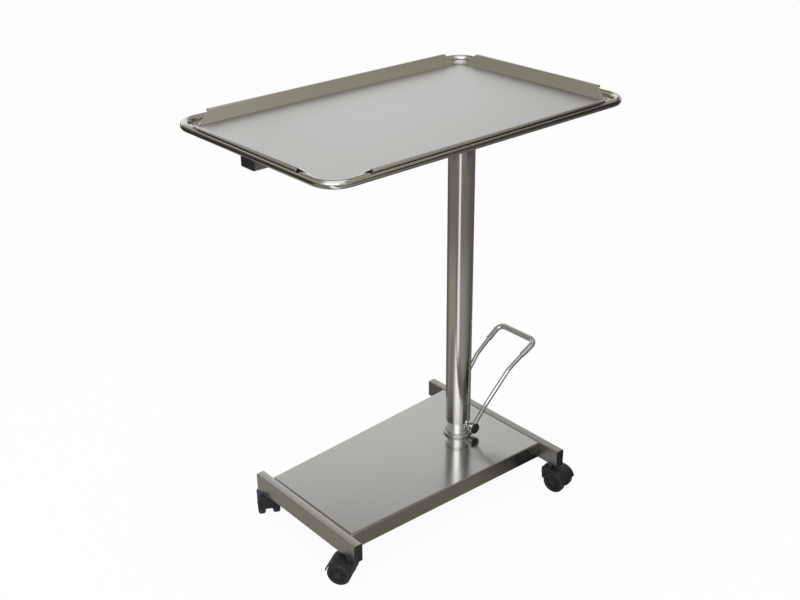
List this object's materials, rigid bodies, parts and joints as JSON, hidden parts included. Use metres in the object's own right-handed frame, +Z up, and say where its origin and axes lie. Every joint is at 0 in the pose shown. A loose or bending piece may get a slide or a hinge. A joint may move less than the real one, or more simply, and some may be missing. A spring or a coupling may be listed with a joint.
{
  "type": "mayo instrument table",
  "caption": "Instrument table with a lift-off sheet tray in a tube ring on a foot-pumped hydraulic column, over a tapered base plate on cross beams with twin-wheel swivel castors.",
  "frame": {"origin": "on the floor, under the tray's centre", "axes": "+Z up; X along the tray, with the column and the pedal at +X; Y across the tray"},
  "size_m": [0.7469, 0.4819, 0.8988],
  "materials": {
    "polished_steel": "polished stainless steel",
    "satin_steel": "satin stainless steel sheet and tube",
    "turned_steel": "turned steel",
    "zinc_steel": "zinc-plated steel",
    "chromed_rod": "ground and chromed",
    "bronze": "turned bronze",
    "black_plastic": "moulded, slightly shiny",
    "white_plastic": "turned",
    "wheel_tread": "moulded, matt",
    "seal_rubber": "matt"
  },
  "bodies": {
    "base": {"base_plate": "satin_steel", "base_channel": "zinc_steel", "column_flange": "polished_steel", "column_screw_1": "zinc_steel", "column_screw_2": "zinc_steel", "column_screw_3": "zinc_steel", "column_screw_4": "zinc_steel", "front_beam": "satin_steel", "rear_beam": "satin_steel", "beam_plug_front_left": "black_plastic", "beam_plug_front_right": "black_plastic", "beam_plug_rear_left": "black_plastic", "beam_plug_rear_right": "black_plastic", "castor_stem_front_left": "zinc_steel", "castor_stem_front_right": "zinc_steel", "castor_stem_rear_left": "zinc_steel", "castor_stem_rear_right": "zinc_steel", "pump_housing": "turned_steel", "shaft_bush_left": "polished_steel", "shaft_bush_right": "polished_steel", "cylinder_tube": "turned_steel", "gland_bush": "bronze"},
    "ram": {"ram_piston": "turned_steel", "piston_seal": "seal_rubber", "ram_rod": "chromed_rod"},
    "top": {"sleeve_tube": "polished_steel", "sleeve_guide": "white_plastic", "head_plug": "turned_steel", "head_plate": "satin_steel", "support_arm": "satin_steel", "arm_plug_front": "black_plastic", "arm_plug_rear": "black_plastic", "ring_frame": "polished_steel"},
    "tray": {"tray_pan": "satin_steel"},
    "pedal": {"pedal_shaft": "turned_steel", "pedal_hub_left": "polished_steel", "pedal_hub_right": "polished_steel", "pedal_cap_left": "black_plastic", "pedal_cap_right": "black_plastic", "pedal_leg_left": "polished_steel", "pedal_leg_right": "polished_steel", "pedal_tread": "polished_steel", "pump_finger": "turned_steel"},
    "plunger": {"pump_plunger": "turned_steel"},
    "castor_front_left": {"castor_hood_front_left": "black_plastic", "castor_axle_front_left": "zinc_steel"},
    "wheel_front_left_a": {"castor_wheel_front_left_a": "wheel_tread"},
    "wheel_front_left_b": {"castor_wheel_front_left_b": "wheel_tread"},
    "castor_front_right": {"castor_hood_front_right": "black_plastic", "castor_axle_front_right": "zinc_steel"},
    "wheel_front_right_a": {"castor_wheel_front_right_a": "wheel_tread"},
    "wheel_front_right_b": {"castor_wheel_front_right_b": "wheel_tread"},
    "castor_rear_left": {"castor_hood_rear_left": "black_plastic", "castor_axle_rear_left": "zinc_steel"},
    "wheel_rear_left_a": {"castor_wheel_rear_left_a": "wheel_tread"},
    "wheel_rear_left_b": {"castor_wheel_rear_left_b": "wheel_tread"},
    "castor_rear_right": {"castor_hood_rear_right": "black_plastic", "castor_axle_rear_right": "zinc_steel"},
    "wheel_rear_right_a": {"castor_wheel_rear_right_a": "wheel_tread"},
    "wheel_rear_right_b": {"castor_wheel_rear_right_b": "wheel_tread"}
  },
  "joints": [
    {"name": "ram_lift", "type": "slide", "parent": "base", "child": "ram", "axis": [0, 0, 1], "range_m": [0, 0.35]},
    {"name": "top_swivel", "type": "hinge", "parent": "ram", "child": "top", "pos_m": [0.147, 0, 0.8516], "axis": [0, 0, 1], "continuous": true},
    {"name": "tray_lift_off", "type": "slide", "parent": "top", "child": "tray", "axis": [0, 0, 1], "range_m": [0, 0.08]},
    {"name": "pedal_pump", "type": "hinge", "parent": "base", "child": "pedal", "pos_m": [0.162, 0, 0.1216], "axis": [0, 1, 0], "range_deg": [0, 32], "stiffness_Nm_per_rad": 6, "springref_deg": -20.05},
    {"name": "plunger_stroke", "type": "slide", "parent": "base", "child": "plunger", "axis": [0, 0, 1], "range_m": [0, 0.0075]},
    {"name": "castor_swivel_front_left", "type": "hinge", "parent": "base", "child": "castor_front_left", "pos_m": [-0.2823, 0.142, 0.05], "axis": [0, 0, 1], "continuous": true},
    {"name": "castor_swivel_front_right", "type": "hinge", "parent": "base", "child": "castor_front_right", "pos_m": [-0.2823, -0.142, 0.05], "axis": [0, 0, 1], "continuous": true},
    {"name": "castor_swivel_rear_left", "type": "hinge", "parent": "base", "child": "castor_rear_left", "pos_m": [0.2603, 0.1855, 0.05], "axis": [0, 0, 1], "continuous": true},
    {"name": "castor_swivel_rear_right", "type": "hinge", "parent": "base", "child": "castor_rear_right", "pos_m": [0.2603, -0.1855, 0.05], "axis": [0, 0, 1], "continuous": true},
    {"name": "wheel_spin_front_left_a", "type": "hinge", "parent": "castor_front_left", "child": "wheel_front_left_a", "pos_m": [-0.2723, 0.15932, 0.025], "axis": [0.866, -0.5, 0], "continuous": true},
    {"name": "wheel_spin_front_left_b", "type": "hinge", "parent": "castor_front_left", "child": "wheel_front_left_b", "pos_m": [-0.2723, 0.15932, 0.025], "axis": [0.866, -0.5, 0], "continuous": true},
    {"name": "wheel_spin_front_right_a", "type": "hinge", "parent": "castor_front_right", "child": "wheel_front_right_a", "pos_m": [-0.2923, -0.12468, 0.025], "axis": [0.866, 0.5, 0], "continuous": true},
    {"name": "wheel_spin_front_right_b", "type": "hinge", "parent": "castor_front_right", "child": "wheel_front_right_b", "pos_m": [-0.2923, -0.12468, 0.025], "axis": [0.866, 0.5, 0], "continuous": true},
    {"name": "wheel_spin_rear_left_a", "type": "hinge", "parent": "castor_rear_left", "child": "wheel_rear_left_a", "pos_m": [0.27909, 0.19234, 0.025], "axis": [0.342, -0.9397, 0], "continuous": true},
    {"name": "wheel_spin_rear_left_b", "type": "hinge", "parent": "castor_rear_left", "child": "wheel_rear_left_b", "pos_m": [0.27909, 0.19234, 0.025], "axis": [0.342, -0.9397, 0], "continuous": true},
    {"name": "wheel_spin_rear_right_a", "type": "hinge", "parent": "castor_rear_right", "child": "wheel_rear_right_a", "pos_m": [0.26377, -0.2052, 0.025], "axis": [-0.9848, -0.1736, 0], "continuous": true},
    {"name": "wheel_spin_rear_right_b", "type": "hinge", "parent": "castor_rear_right", "child": "wheel_rear_right_b", "pos_m": [0.26377, -0.2052, 0.025], "axis": [-0.9848, -0.1736, 0], "continuous": true}
  ],
  "couplings": [
    {"joint": "plunger_stroke", "follows": "pedal_pump", "m_per_rad": 0.013}
  ]
}
